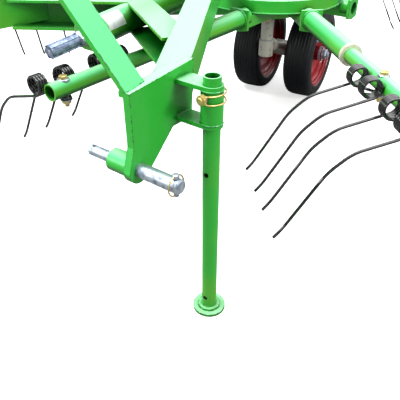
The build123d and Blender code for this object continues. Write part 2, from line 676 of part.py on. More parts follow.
def main():
    nodes = build()
    box = Compound(list(nodes.values())).bounding_box()
    origin = Vector((box.min.X + box.max.X) / 2, (box.min.Y + box.max.Y) / 2, box.min.Z)
    os.makedirs("parts", exist_ok=True)
    for name, piece in nodes.items():
        solids = [Pos(*(-origin)) * solid for solid in piece.solids()]
        export_step(solids[0] if len(solids) == 1 else Compound(solids), f"parts/{name}.step")
    print("nodes", len(nodes), "box", box.size, "origin", origin)


main()
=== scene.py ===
# %% [markdown]
# # A rotary hay rake, dressed
#
# The rake stands parked: a headstock that a tractor lifts it by, a V frame of painted beams, and a
# rotor whose arms carry coil-spring tines. The machine's solids come packed from CAD, at their real
# size. This lesson puts a camera and light round them, gives every surface a finish made of shader
# nodes, and adds what a solid model leaves out: wound springs, ribbed tyres, bolts, wire clips and
# weld beads. Blender's frame is the CAD's, in metres. Sizes are written in millimetres, as on a
# drawing, and turned to metres when a piece is placed.

import json
from math import cos, pi, radians, sin

import bmesh
import bpy
import numpy as np
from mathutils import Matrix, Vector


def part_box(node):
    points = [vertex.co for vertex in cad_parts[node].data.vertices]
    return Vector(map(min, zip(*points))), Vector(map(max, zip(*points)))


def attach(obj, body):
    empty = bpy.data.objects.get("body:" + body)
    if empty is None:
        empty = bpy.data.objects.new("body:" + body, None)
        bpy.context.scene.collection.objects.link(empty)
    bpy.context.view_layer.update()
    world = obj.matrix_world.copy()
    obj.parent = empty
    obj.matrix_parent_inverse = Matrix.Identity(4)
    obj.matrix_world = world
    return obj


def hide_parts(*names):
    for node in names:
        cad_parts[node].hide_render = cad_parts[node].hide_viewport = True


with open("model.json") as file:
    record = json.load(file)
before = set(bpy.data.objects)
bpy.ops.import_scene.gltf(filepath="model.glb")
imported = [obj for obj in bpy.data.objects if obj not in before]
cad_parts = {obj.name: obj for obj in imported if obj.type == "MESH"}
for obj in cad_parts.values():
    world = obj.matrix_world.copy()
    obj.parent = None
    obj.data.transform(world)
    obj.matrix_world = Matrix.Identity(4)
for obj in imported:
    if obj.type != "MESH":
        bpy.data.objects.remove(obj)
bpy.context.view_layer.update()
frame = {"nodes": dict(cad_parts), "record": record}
MM = 0.001
print("nodes:", len(frame["nodes"]))

# %% [markdown]
# ## The rotor's axis is the ruler
#
# On the real rake everything is laid out from the vertical pillar that the rotor turns about. The
# pillar is round, so the middle of its box is that axis. Every place below is given from it. The
# tractor is towards -Y, and for someone who looks from it at the rake the right is towards +X. One
# function moves such places into the frame.

# %% Find the rotor's axis
low, high = (np.array(corner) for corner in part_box("column"))
AXIS = np.array([(low[0] + high[0]) / 2, (low[1] + high[1]) / 2, 0.0])


def from_axis(points):
    """Points given in millimetres from the rotor's axis on the ground, as metres in the frame."""
    return np.asarray(points, float) * MM + AXIS


def turn_about(points, degrees):
    """Points in millimetres, turned about the rotor's axis, anticlockwise from above."""
    turn = radians(degrees)
    x, y, z = np.asarray(points, float).T
    return np.stack([x * cos(turn) - y * sin(turn), x * sin(turn) + y * cos(turn), z], -1)


print("rotor axis:", AXIS.round(4))

# %% [markdown]
# ## The camera
#
# The photograph looks down at 35 degrees from the front right corner, from just under a metre up and
# close to the machine, so near things look large. A camera in Blender looks straight down until it's
# tilted, and a tilt of 90 degrees makes it level, so 35 below level is a tilt of 55. The rest can be
# found by fitting a camera to points whose real places are known. Here that fit gave the place, the
# turn and the lens.

# %% Set up the camera
CAMERA_PLACE = (1002.0, -1757.0, 900.0)
CAMERA_PITCH = radians(55.0)
CAMERA_TURN = radians(37.3)
CAMERA_LENS = 44.64

camera_data = bpy.data.cameras.new("camera")
camera_data.lens = CAMERA_LENS
camera = bpy.data.objects.new("camera", camera_data)
camera.location = from_axis(CAMERA_PLACE)
camera.rotation_euler = (CAMERA_PITCH, 0.0, CAMERA_TURN)
bpy.context.scene.collection.objects.link(camera)
bpy.context.scene.camera = camera
print("camera at", [round(value, 3) for value in camera.location])

# %% [markdown]
# ## Shader maths as Python expressions
#
# A finish is a web of nodes. Written node by node it is long and hard to read, so a small class
# wraps a node's output and lets plus, minus and times add the Math nodes, the plain number first or
# last. Its `smooth` turns any measure into a mask with soft edges.

# %% Wrap a node's output


class Signal:
    """An output in a tree. Arithmetic on it adds Math nodes and gives their output."""

    def __init__(self, tree, link):
        self.tree = tree
        self.link = link

    def math(self, operation, *values):
        """A Math node of that operation on these values."""
        return self.tree.node("ShaderNodeMath", {"operation": operation}, dict(enumerate(values)))

    def __add__(self, other):
        return self.math("ADD", self, other)

    def __sub__(self, other):
        return self.math("SUBTRACT", self, other)

    def __rsub__(self, other):
        return self.math("SUBTRACT", other, self)

    def __mul__(self, other):
        return self.math("MULTIPLY", self, other)

    __radd__ = __add__
    __rmul__ = __mul__

    def smooth(self, start, end):
        """0 below start, 1 above end, and an even S between them."""
        sockets = {"Value": self, "From Min": start, "From Max": end}
        return self.tree.node("ShaderNodeMapRange", {"interpolation_type": "SMOOTHSTEP"}, sockets)


print("reflected forms:", [name for name in vars(Signal) if name.startswith("__r")])

# %% [markdown]
# ## A tree of nodes
#
# A material and the world are both trees of nodes. One method, `node`, adds any node from its type,
# its settings, such as which way to interpolate, and its sockets, and gives one of its outputs. So
# every node below takes one line, whatever its kind.

# %% Hold a tree


class Tree:
    """The nodes of a material or of the world."""

    def __init__(self, node_tree):
        self.node_tree = node_tree

    def feed(self, node, sockets):
        """Links each signal to its socket and writes each plain value on it."""
        for key, value in sockets.items():
            if isinstance(value, Signal):
                self.node_tree.links.new(value.link, node.inputs[key])
            else:
                node.inputs[key].default_value = value

    def node(self, kind, settings=None, sockets=None, output=0):
        """Adds a node, first its settings and then its sockets, and gives one of its outputs."""
        node = self.node_tree.nodes.new(kind)
        for key, value in (settings or {}).items():
            setattr(node, key, value)
        self.feed(node, sockets or {})
        return Signal(self, node.outputs[output])


print("a tree can:", ", ".join(name for name in vars(Tree) if not name.startswith("_")))

# %% [markdown]
# ## A finish
#
# A finish is a tree that paints a material. Paint, plating, rubber and nylon all need the same few
# measures: a cloudy noise, how near an edge is, how far the surface looks up and how sheltered it
# is. They are methods here, so that each finish below is a short recipe. The noises read Object
# coordinates, which stay with a piece when it moves.

# %% Paint a material


class Finish(Tree):
    """One material. Its fixed values are set on the shader, and the rest is wired with node()."""

    def __init__(self, name, **fixed):
        self.material = bpy.data.materials.new(name)
        self.material.use_nodes = True
        super().__init__(self.material.node_tree)
        self.shader = self.node_tree.nodes["Principled BSDF"]
        self.wear(**fixed)
        self.place = self.node("ShaderNodeTexCoord", output="Object")

    def noise(self, size, detail=2.0, stretch=(1.0, 1.0, 1.0), rough=0.5):
        """Cloudy noise about 0.5 whose blobs are about that size, longer where stretch is small."""
        place = self.node("ShaderNodeMapping", {}, {"Vector": self.place, "Scale": stretch})
        sockets = {"Vector": place, "Scale": 1.0 / size, "Detail": detail, "Roughness": rough}
        return self.node("ShaderNodeTexNoise", {}, sockets)

    def mix(self, mask, first, second):
        """The first colour where the mask is 0 and the second where it is 1."""
        sockets = {0: mask, 6: first, 7: second}
        return self.node("ShaderNodeMix", {"data_type": "RGBA"}, sockets, output=2)

    def rounded(self, radius):
        """The surface's direction as if each edge were rounded off by that radius."""
        return self.node("ShaderNodeBevel", {"samples": 4}, {"Radius": radius})

    def edges(self, rounded):
        """0 on flats and above it on edges: how far the rounded direction leans off the real one."""
        real = self.node("ShaderNodeNewGeometry", output="Normal")
        sockets = {0: rounded, 1: real}
        agree = self.node("ShaderNodeVectorMath", {"operation": "DOT_PRODUCT"}, sockets, "Value")
        return 1.0 - agree

    def upward(self):
        """How far the surface looks up: 1 straight up, 0 sideways and -1 straight down."""
        real = self.node("ShaderNodeNewGeometry", output="Normal")
        return self.node("ShaderNodeSeparateXYZ", {}, {"Vector": real}, "Z")

    def shelter(self, reach):
        """0 in the open and up to 1 where other surfaces within reach stand round the place."""
        sockets = {"Distance": reach}
        return 1.0 - self.node("ShaderNodeAmbientOcclusion", {"samples": 6}, sockets, "AO")

    def bump(self, height, distance, normal=None):
        """The surface's direction after a height map of that depth in metres."""
        sockets = {"Height": height, "Distance": distance, "Strength": 1.0}
        if normal is not None:
            sockets["Normal"] = normal
        return self.node("ShaderNodeBump", {}, sockets)

    def wear(self, **sockets):
        """Feeds the shader, with underscores for the spaces of its sockets' names."""
        self.feed(self.shader, {key.replace("_", " "): value for key, value in sockets.items()})


def colour(red, green, blue):
    """A colour as a picture program gives it, 0 to 255, turned to the light it stands for."""
    values = np.array([red, green, blue]) / 255.0
    linear = np.where(values <= 0.04045, values / 12.92, ((values + 0.055) / 1.055) ** 2.4)
    return (*linear.tolist(), 1.0)


print("full white is", colour(255, 255, 255))

# %% [markdown]
# ## Green paint over steel
#
# Most of the rake is sprayed in one bright green with a clear gloss. Sprayed paint is never quite
# flat: it has an orange peel of a few millimetres, slow clouds where the coat is thicker, and chips
# on the edges that show dark primer. A mask of the edges comes from rounding the surface's direction
# and asking how far it leans off the real one. The chips come in clusters, so a slow noise picks where
# they are. Faces that look up are lit a pale mint, and those that look down and the hollows lie in deep
# green shade, far more than one lamp would do. So light and shade are also painted into the colour: a
# painted sheen and a painted glare follow the up part of the surface's direction, and painted shade
# follows that and how sheltered the place is. The same function paints the rims.
# Each mask is a measure, such as the up part, and a window: 0 at the first number, 1 at the second.

# %% Paint
PEEL = 5 * MM
CLOUD = 350 * MM
HANDLED = 60 * MM
CHIP = 8 * MM
CHIP_CLUSTER = 120 * MM
CHIP_REACH = 5 * MM
EDGE_ROUND = 1.6 * MM
# How far a hollow reaches, and the windows of the up part and of shelter that place the painted sheen,
# painted glare and painted shade.
HOLLOW = 130 * MM
SLANTED, LEVEL, DOWNWARD = (0.15, 0.9), (0.84, 1.0), (0.0, -0.5)
NEAR_HOLLOW, IN_HOLLOW = (0.12, 0.5), (0.28, 0.66)


def paint(name, tones, primer, gloss=0.3):
    """Sprayed paint with orange peel, painted shade in hollows and primer in chips on the edges.

    The tones are two for upright faces, then a painted sheen for slanted faces, a painted glare for
    level ones and painted shade for downward or hidden ones.
    """
    # The tones are the body, its cloud tone, then a painted sheen, a painted glare and painted shade.
    body, cloud_tone, painted_sheen, painted_glare, painted_shade = tones
    finish = Finish(name, Coat_Weight=0.3, Coat_Roughness=0.1, Specular_IOR_Level=0.25)
    rounded = finish.rounded(EDGE_ROUND)
    up = finish.upward()
    clouds = finish.noise(CLOUD, 3).smooth(0.38, 0.62)
    speckle = finish.noise(CHIP, 4, rough=0.65).smooth(0.47, 0.53)
    clusters = finish.noise(CHIP_CLUSTER, 2).smooth(0.49, 0.55)
    chips = finish.edges(finish.rounded(CHIP_REACH)).smooth(0.03, 0.1) * speckle * clusters
    # Shelter from surfaces nearby places the painted shade in hollows and keeps the painted sheen out of
    # them.
    shelter = finish.shelter(HOLLOW)
    unsheltered = 1.0 - shelter.smooth(*NEAR_HOLLOW)
    # Painted light: a painted sheen on slanted faces that look up and a paler painted glare on level
    # ones, both kept out of hollows.
    tone = finish.mix(up.smooth(*SLANTED) * unsheltered, finish.mix(clouds, body, cloud_tone), painted_sheen)
    tone = finish.mix(up.smooth(*LEVEL) * unsheltered, tone, painted_glare)
    # Painted shade: a deep tone on faces that look down and in sheltered hollows.
    tone = finish.mix(up.smooth(*DOWNWARD), tone, painted_shade)
    tone = finish.mix(shelter.smooth(*IN_HOLLOW), tone, painted_shade)
    peel = finish.noise(PEEL, 1)
    dull = finish.noise(HANDLED, 4)
    finish.wear(
        Base_Color=finish.mix(chips, tone, primer),
        Roughness=gloss + dull * 0.18 + chips * 0.25,
        Normal=finish.bump(peel - chips, 0.12 * MM, normal=rounded),
    )
    return finish.material


# Each paint's tones: body, cloud tone, painted sheen, painted glare, painted shade.
GREENS = (50, 190, 58), (98, 194, 50), (104, 220, 146), (168, 244, 182), (0, 98, 20)
REDS = (190, 4, 26), (160, 2, 20), (206, 26, 46), (214, 60, 80), (84, 2, 14)
GREEN = paint("green_spray", [colour(*tone) for tone in GREENS], colour(46, 54, 60))
RED = paint("red_spray", [colour(*tone) for tone in REDS], colour(60, 20, 22), 0.25)
print("paints:", GREEN.name, RED.name)

# %% [markdown]
# ## Plated steel
#
# The hitch pins are bright zinc and the small bolts yellow zinc. Plating is metal with a thin,
# patchy skin: its colour drifts a little, and its shine is broken by handling marks. So the colour
# and the roughness both follow the same noise, and fine lines run round what was turned on a lathe.

# %% Plating and bare steel
SPANGLE = 14 * MM
SCRATCH = 1.2 * MM
LATHE_LINES = (0.05, 1.0, 1.0)
SPLINE_LINES = (1.0, 0.08, 0.08)


def plating(name, bright, dull, shine, lines=(1.0, 1.0, 1.0)):
    """Metal whose colour goes from bright to dull and whose shine is broken, in patches and lines."""
    finish = Finish(name, Metallic=0.8)
    rounded = finish.rounded(0.8 * MM)
    patches = finish.noise(SPANGLE, 4, rough=0.6).smooth(0.35, 0.68)
    scratches = finish.noise(SCRATCH, 2, lines)
    finish.wear(
        Base_Color=finish.mix(patches, bright, dull),
        Roughness=shine + patches * 0.2 + scratches * 0.12,
        Normal=finish.bump(scratches, 0.04 * MM, normal=rounded),
    )
    return finish.material


ZINC = plating("bright_zinc", colour(188, 198, 208), colour(116, 130, 148), 0.27, LATHE_LINES)
YELLOW_ZINC = plating("yellow_plate", colour(216, 196, 128), colour(172, 146, 88), 0.26)
DARK_STEEL = plating("oiled_steel", colour(150, 164, 190), colour(84, 98, 120), 0.34, SPLINE_LINES)
print("plated:", ZINC.name, YELLOW_ZINC.name, DARK_STEEL.name)

# %% [markdown]
# ## Rubber and spring wire
#
# Both are black, and only their shine tells them apart. The tyres are dull rubber, slightly grey
# where they are dusty, with a fine grain. The spring wire is dipped in thick black gloss, so its
# highlights are small and hard: that is a clear coat of its own over a base that hardly shines.

# %% Black rubber and black gloss


def rubber():
    """Black rubber: a fine grain, and paler dust in soft patches."""
    finish = Finish("rubber", Specular_IOR_Level=0.28)
    dust = finish.noise(70 * MM, 4).smooth(0.42, 0.75)
    grain = finish.noise(1.6 * MM, 3)
    finish.wear(
        Base_Color=finish.mix(dust, colour(1, 3, 7), colour(7, 12, 19)),
        Roughness=0.42 + dust * 0.2,
        Normal=finish.bump(grain, 0.15 * MM),
    )
    return finish.material


def spring_black():
    """Thick black gloss on wire, with faint rubs."""
    finish = Finish(
        "spring_black", Coat_Weight=1.0, Coat_Roughness=0.03, Coat_IOR=1.6, Specular_IOR_Level=0.1
    )
    rubs = finish.noise(HANDLED, 3).smooth(0.5, 0.8)
    finish.wear(
        Base_Color=finish.mix(rubs, colour(2, 3, 6), colour(12, 15, 21)),
        Roughness=0.14 + rubs * 0.14,
    )
    return finish.material


RUBBER, SPRING_BLACK = rubber(), spring_black()
print("blacks:", RUBBER.name, SPRING_BLACK.name)

# %% [markdown]
# ## Nylon and the grey pillar
#
# The rings at the ends of the arm sleeves are cream nylon, which lets a little light in under its
# skin. The pillar has a thin grey coat, with oil stains that are longer downwards and dark specks. A
# noise stretched along one direction draws those.

# %% Cream nylon and a stained coat


def cream_nylon():
    """Moulded nylon, a little yellowed, dull where grease has dried on it."""
    finish = Finish("cream_nylon", Subsurface_Weight=0.15, Subsurface_Scale=0.004)
    grime = finish.noise(18 * MM, 4).smooth(0.5, 0.72)
    finish.wear(
        Base_Color=finish.mix(grime, colour(238, 228, 212), colour(212, 198, 172)),
        Roughness=0.38 + grime * 0.25,
        Normal=finish.bump(finish.noise(4 * MM), 0.08 * MM, normal=finish.rounded(1 * MM)),
    )
    return finish.material


def stained_grey():
    """Thin grey-beige coat on the pillar, with oil stains that run down and dark specks."""
    finish = Finish("stained_grey", Coat_Weight=0.3, Coat_Roughness=0.25)
    stains = finish.noise(22 * MM, 5, (1.0, 1.0, 0.45), rough=0.6).smooth(0.5, 0.72)
    specks = finish.noise(5 * MM, 3, rough=0.7).smooth(0.64, 0.7)
    coat = finish.mix(stains, colour(188, 186, 174), colour(124, 118, 104))
    finish.wear(
        Base_Color=finish.mix(specks, coat, colour(58, 52, 44)),
        Roughness=0.42 + stains * 0.2,
        Normal=finish.bump(stains + specks, 0.2 * MM, normal=finish.rounded(1 * MM)),
    )
    return finish.material


NYLON, GREY = cream_nylon(), stained_grey()
print("pale ones:", NYLON.name, GREY.name)

# %% [markdown]
# ## Finishes for the CAD solids
#
# Each solid names the finish that it has on the real machine. So a table from those names to the
# materials above, and one loop over the record, give every solid its finish.

# %% Dress the CAD solids
FINISHES = {
    "green_paint": GREEN,
    "red_paint": RED,
    "zinc": ZINC,
    "yellow_zinc": YELLOW_ZINC,
    "dark_steel": DARK_STEEL,
    "tyre": RUBBER,
    "black_gloss": SPRING_BLACK,
    "nylon": NYLON,
    "grey_paint": GREY,
}
for row in frame["record"]["subparts"]:
    solid = frame["nodes"][row["node"]]
    if not solid.material_slots:
        solid.data.materials.append(None)
    for slot in solid.material_slots:
        slot.material = FINISHES[row["material_slot"]]

# %% [markdown]
# ## Surfaces from arrays
#
# A surface is a grid of points, worked out as one array, and its faces join each point to the next
# along and around. Two forms make nearly everything here: a wire, which is a circle carried along a
# path, and a turned form, which is a profile carried round an axis, as on a lathe.

# %% Grids, wires and turned forms
UP, DOWN, RIGHT, REAR = np.array([(0, 0, 1), (0, 0, -1), (1, 0, 0), (0, 1, 0)])
STEEP = 0.9


def rings(points, closed=False):
    """Corners and faces of a grid whose rows are rings; closed joins the last ring to the first."""
    rows, columns = points.shape[:2]
    last = rows if closed else rows - 1
    row, column = np.meshgrid(np.arange(last), np.arange(columns), indexing="ij")
    onward, beside = (row + 1) % rows, (column + 1) % columns
    row, onward = row * columns, onward * columns
    corners = [row + column, row + beside, onward + beside, onward + column]
    return points.reshape(-1, 3), np.stack(corners, -1).reshape(-1, 4)


def unit(vectors):
    """The same directions at length 1."""
    return vectors / np.linalg.norm(vectors, axis=-1, keepdims=True)


def square_to(axis):
    """The axis at length 1, and two directions square to it and to each other.

    The first is the axis crossed with up, or with right where the axis is steep.
    """
    axis = unit(np.asarray(axis, float))
    across = unit(np.cross(axis, UP if abs(axis[2]) < STEEP else RIGHT))
    return axis, across, np.cross(axis, across)


def wire(path, radius, lean, sides=10):
    """A circle of that radius square to the path at each of its points, with flat ends.

    The circle's first axis is the path's direction crossed with lean, which may not lie along it.
    """
    path = np.asarray(path, float)
    ahead = unit(np.gradient(path, axis=0))
    across = unit(np.cross(ahead, lean))
    upward = np.cross(across, ahead)
    angle = np.linspace(0, 2 * pi, sides, endpoint=False)[None, :, None]
    circle = np.cos(angle) * across[:, None] + np.sin(angle) * upward[:, None]
    skin = path[:, None] + np.broadcast_to(radius, len(path))[:, None, None] * circle
    ends = [np.repeat(point[None, None], sides, axis=1) for point in (path[0], path[-1])]
    return rings(np.concatenate([ends[0], skin, ends[1]]))


def turned(profile, start, along, steps=72, closed=False):
    """Each (distance along the axis, radius) of the profile, carried once round the axis."""
    distance, radius = np.asarray(profile, float).T[:, :, None, None]
    axis, across, beside = square_to(along)
    angle = np.linspace(0, 2 * pi, steps, endpoint=False)[None, :, None]
    circle = np.cos(angle) * across + np.sin(angle) * beside
    return rings(np.asarray(start) + distance * axis + radius * circle, closed)


_, drum_faces = turned([(0, 0), (0, 1), (1, 1), (1, 0)], (0, 0, 0), UP)
print("a plain drum has", len(drum_faces), "faces")

# %% [markdown]
# ## Corners worn round
#
# Bent wire and pressed sheet have no sharp corners. A spline would need its handles placed by eye.
# Here the corners are given as plain points, and a sliding mean along the path wears them round, all
# by the same amount, while the straight runs stay straight.

# %% Wear corners round


def smoothed(points, spacing, reach):
    """A path through the points with its corners worn round.

    The straight runs are sampled evenly, and each sample becomes the mean of those within reach.
    """
    points = np.asarray(points, float)
    steps = np.linalg.norm(np.diff(points, axis=0), axis=1)
    travelled = np.concatenate([[0], np.cumsum(steps)])
    samples = np.linspace(0, travelled[-1], int(travelled[-1] / spacing) + 1)
    path = np.stack([np.interp(samples, travelled, column) for column in points.T], -1)
    half = int(reach / spacing)
    before = 2 * path[0] - path[half:0:-1]
    after = 2 * path[-1] - path[-2 : -half - 2 : -1]
    padded = np.concatenate([before, path, after])
    window = np.ones(2 * half + 1) / (2 * half + 1)
    return np.stack([np.convolve(column, window, "valid") for column in padded.T], -1)


print("a worn corner:", smoothed([(0, 0), (2, 0), (2, 2)], 1.0, 1.0).round(2).tolist())

# %% [markdown]
# ## From arrays to a piece of the machine
#
# A piece may be many surfaces in one mesh. Points that fall together, as at the middle of a wire's
# flat end, are merged, and the faces are turned outwards. The piece then rides on the body that
# carries it, so that it moves with the machine, and its finish is given as its material.

# %% Make one piece
SHARP_DEGREES = 35


def make_piece(name, shapes, material, body, replaced=()):
    """One object from surfaces whose points are in metres in the frame, on the body it rides on."""
    starts = np.cumsum([0] + [len(points) for points, _ in shapes])
    corners = np.concatenate([points for points, _ in shapes])
    faces = np.concatenate([quads + start for (_, quads), start in zip(shapes, starts)])
    mesh = bpy.data.meshes.new(name)
    mesh.from_pydata(corners.tolist(), [], faces.tolist())
    work = bmesh.new()
    work.from_mesh(mesh)
    bmesh.ops.remove_doubles(work, verts=work.verts, dist=1e-6)
    bmesh.ops.recalc_face_normals(work, faces=work.faces)
    work.to_mesh(mesh)
    work.free()
    mesh.shade_smooth()
    mesh.set_sharp_from_angle(angle=radians(SHARP_DEGREES))
    mesh.materials.append(material)
    made = bpy.data.objects.new(name, mesh)
    bpy.context.scene.collection.objects.link(made)
    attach(made, body)
    if replaced:
        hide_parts(*replaced)
    print(f"{name}: {len(mesh.polygons)} faces")


print("edges past", SHARP_DEGREES, "degrees stay sharp")

# %% [markdown]
# ## The arms' own frame
#
# Eight arms stand off the rotor like a wheel's slanted spokes, one of them missing. Each lies beside
# the axis and not through it. A point is given along the arm, across it and up from the middle of
# its tube, and this function puts it on any arm.

# %% Places on an arm
ARM_FIRST = -45.3
ARM_STEP = 45.0
ARM_OFFSET = 66.0
ARM_HEIGHT = 440.0
ARM_COUNT = 7
TUBE_R = 21.0


def on_arm(shape, arm):
    """Moves a surface in millimetres about an arm's axis to where that arm is."""
    points, faces = shape
    return from_axis(turn_about(points + (0, ARM_OFFSET, ARM_HEIGHT), ARM_FIRST - ARM_STEP * arm)), faces


print("arms:", ARM_COUNT)

# %% [markdown]
# ## Spring tines
#
# A double tine is one length of spring wire. It starts at the tip of a finger, winds four times
# round in a coil beside the tube, passes under the tube and round a bolt, winds up the other coil
# and runs out to the second tip. So it is made as one path: half of it is a loop, a helix and a
# finger in turn, and the other half is its mirror image. The helix is a circle whose middle slides
# along the arm, and the finger is a few straight runs whose corners are worn round.

# %% Wind the tines
TINE_PLACES = (866.0, 1056.0)
WIRE_R = 3.7
COIL_R = 22.8
COIL_MIDDLE = np.array([-48.0, 6.75])
COIL_FROM, COIL_TO = 24.2, 53.8
COIL_TURNS = 4
TURN_POINTS = 24
LEAVE_ANGLE = radians(-73.7)
LOOP_R = 10.5
LOOP_Z = -TUBE_R - WIRE_R - 0.2
LEAD = ((12.0, -14.0, LOOP_Z), (19.0, -34.0, -19.5))
FINGER = ((-161, -48), (-210, -91), (-255, -166), (-298, -238), (-313, -255))
FINGER_STEP, FINGER_BEND = 9.0, 22.0
TINE_LEAN = (1.0, 0.0, 1.0)


def half_tine():
    """From the bolt, round it, up the coil and out along the finger, in one line of points.

    The coil's points are its middle plus COIL_R (cos angle, sin angle), sliding along the arm evenly.
    """
    quarter = np.linspace(pi / 2, 0, 8)[:, None]
    bend = np.hstack([LOOP_R * np.cos(quarter), LOOP_R * np.sin(quarter), np.full_like(quarter, LOOP_Z)])
    first = -pi / 2 + 2 * pi * COIL_TURNS
    angle = np.linspace(first, LEAVE_ANGLE, TURN_POINTS * COIL_TURNS)[:, None]
    along = np.linspace(COIL_FROM, COIL_TO, len(angle))[:, None]
    ring = COIL_MIDDLE + COIL_R * np.hstack([np.cos(angle), np.sin(angle)])
    coil = np.hstack([along, ring])
    runs = np.array([ring[-1], *FINGER])
    finger = smoothed(runs, FINGER_STEP, FINGER_BEND)[1:]
    finger = np.hstack([np.full((len(finger), 1), COIL_TO), finger])
    return np.concatenate([bend, LEAD, coil, finger])


def double_tine(place):
    """Both halves as one wire, at that place along the arm."""
    half = half_tine()
    whole = np.concatenate([(half * (-1, 1, 1))[::-1], half[1:]])
    return wire(whole + (place, 0, 0), WIRE_R, TINE_LEAN)


for arm in range(ARM_COUNT):
    shapes = [on_arm(double_tine(place), arm) for place in TINE_PLACES]
    make_piece(f"spring_tines_{arm}", shapes, SPRING_BLACK, "rotor", [f"tines_{arm}"])

# %% [markdown]
# ## Ribbed tyres
#
# A small implement tyre has fine ribs that run round it, rounded shoulders and a flat wall. Nothing
# changes round the wheel, so it is a turned form: the outline of half the tyre is a quarter of a
# rounded box, and shallow grooves are a wave taken off its crown. The wheels stand on a carrier that
# swings about the pillar, and it is parked a few degrees round.

# %% Turn the tyres
WHEEL_R = 187.0
WHEEL_X = 116.0
WHEEL_Y = 229.0
WHEEL_TURN = 8.3
RIM_R = 129.0
TYRE_HALF = 58.0
SEAT_HALF = 41.8
WALL_FROM = RIM_R + 14
SHOULDER_POWER = 4.4
RIBS = 9
GROOVE = 1.6
CROWN_HALF, CROWN_FADE = 0.86, 0.06


def tyre_outline():
    """Distance across the tyre and radius, from one bead over the crown to the other.

    The outside is a box with rounded corners, (x / half) ** power + (height) ** power = 1, and the
    grooves are narrow dips where a cosine wave across the crown is near its top.
    """
    share = np.sin(np.linspace(-pi / 2, pi / 2, 181))
    height = (1 - np.abs(share) ** SHOULDER_POWER).clip(0) ** (1 / SHOULDER_POWER)
    wave = np.cos(share * pi * RIBS)
    crown = np.clip((CROWN_HALF - np.abs(share)) / CROWN_FADE, 0, 1)
    groove = GROOVE * np.clip(wave * 3 - 2, 0, 1) * crown
    radius = WALL_FROM + (WHEEL_R - WALL_FROM) * height - groove
    low = [(-SEAT_HALF, RIM_R - 1), (-SEAT_HALF - 5, RIM_R + 2), (-TYRE_HALF + 2.5, RIM_R + 11)]
    high = [(-x, r) for x, r in reversed(low)]
    return [*low, *zip(TYRE_HALF * share, radius), *high]


def at_wheel(side, shape):
    """Moves a surface made about the X axis to the wheel on that side, its outer face outwards."""
    points, faces = shape
    points = points * (side, 1, 1) + (side * WHEEL_X, WHEEL_Y, WHEEL_R)
    return from_axis(turn_about(points, WHEEL_TURN)), faces


for side, name in ((-1, "left"), (1, "right")):
    body = f"wheel_{name}"
    tread = turned(tyre_outline(), (0, 0, 0), RIGHT, 144, closed=True)
    make_piece(f"ribbed_tyre_{name}", [at_wheel(side, tread)], RUBBER, body, [f"tyre_{name}"])

# %% [markdown]
# ## Bolts
#
# Every bolt on the machine is a pile of slices along an axis: a washer, a six-sided head or nut, the
# end of a thread. Each slice is a turned form. One with six steps round is a hexagon, and its last
# corner is cut back as on a real head. So one function piles up any of them.

# %% Make washers, nuts and piles of them


def hexagon(place, along, radius, height):
    """A six-sided nut or bolt head with its outer corners taken off, standing on that place."""
    profile = [(0, 0), (0, radius), (height * 0.8, radius), (height, radius * 0.86), (height, 0)]
    return turned(profile, place, along, 6)


def round_end(place, along, radius, height):
    """A round bar's end or a washer, with its edge turned off a little."""
    edge = min(radius, height) * 0.25
    profile = [(0, 0), (0, radius), (height - edge, radius), (height, radius - edge), (height, 0)]
    return turned(profile, place, along, 32)


def stack(place, along, *layers):
    """Slices piled up from a place. Each layer is its form, its radius and its height."""
    shapes = []
    for form, radius, height in layers:
        shapes.append(form(place, along, radius, height))
        place = place + along * height
    return shapes


print("a nut on a washer:", len(stack(UP, UP, (round_end, 11, 2), (hexagon, 9, 7))), "slices")

# %% [markdown]
# ## Pressed rims
#
# The rims are two pressed steel halves: a lip that holds the tyre, a barrel, and a dished disc with
# a hub tube through it. Pressed sheet has rounded corners everywhere, so the outline's corners are
# worn round in the same way as a finger's. Four bolts hold the halves together.

# %% Press the rims
HUB_HALF = 60.0
HUB_R = 30.0
BORE_R = 12.8
BOLT_CIRCLE = 52.0
DISC_FACE = 9.5
SHEET = 4.0
HUB_TUBE = ((HUB_HALF, HUB_R), (14, HUB_R))
DISC = ((9, 40), (9, 72), (22, 92), (22, RIM_R - 12))
WELL = ((32, RIM_R - SHEET), (SEAT_HALF + 1, RIM_R - SHEET))
LIP = ((SEAT_HALF + 7, RIM_R + 5), (SEAT_HALF + 13, RIM_R + 8), (SEAT_HALF + 12, RIM_R + 10))
SEAT = ((SEAT_HALF + 4, RIM_R + 8), (SEAT_HALF - 2, RIM_R - 0.5))
PRESS_STEP, PRESS_BEND = 2.0, 3.0


def rim_outline():
    """Distance across and radius of the whole rim's skin, from the hub's end round to the other."""
    outside = [*HUB_TUBE, *DISC, *WELL, *LIP, *SEAT]
    inside = [(-x, r) for x, r in reversed(outside)]
    skin = smoothed([*outside, *inside], PRESS_STEP, PRESS_BEND)
    return [(HUB_HALF, BORE_R), *skin, (-HUB_HALF, BORE_R)]


def wheel_bolts(face):
    """Four bolts round the disc on the face at that distance across: washer, nut and thread's end."""
    out = RIGHT * np.sign(face)
    shapes = []
    for quarter in range(4):
        angle = pi / 4 + quarter * pi / 2
        place = np.array([face, BOLT_CIRCLE * cos(angle), BOLT_CIRCLE * sin(angle)])
        shapes += stack(place, out, (round_end, 11, 2), (hexagon, 9, 7), (round_end, 4.6, 5))
    return shapes


for side, name in ((-1, "left"), (1, "right")):
    body, node = f"wheel_{name}", f"wheel_rim_{name}"
    rim = turned(rim_outline(), (0, 0, 0), RIGHT, 96, closed=True)
    make_piece(f"pressed_rim_{name}", [at_wheel(side, rim)], RED, body, [node])
    bolts = [at_wheel(side, shape) for face in (DISC_FACE, -DISC_FACE) for shape in wheel_bolts(face)]
    make_piece(f"rim_bolts_{name}", bolts, ZINC, body)

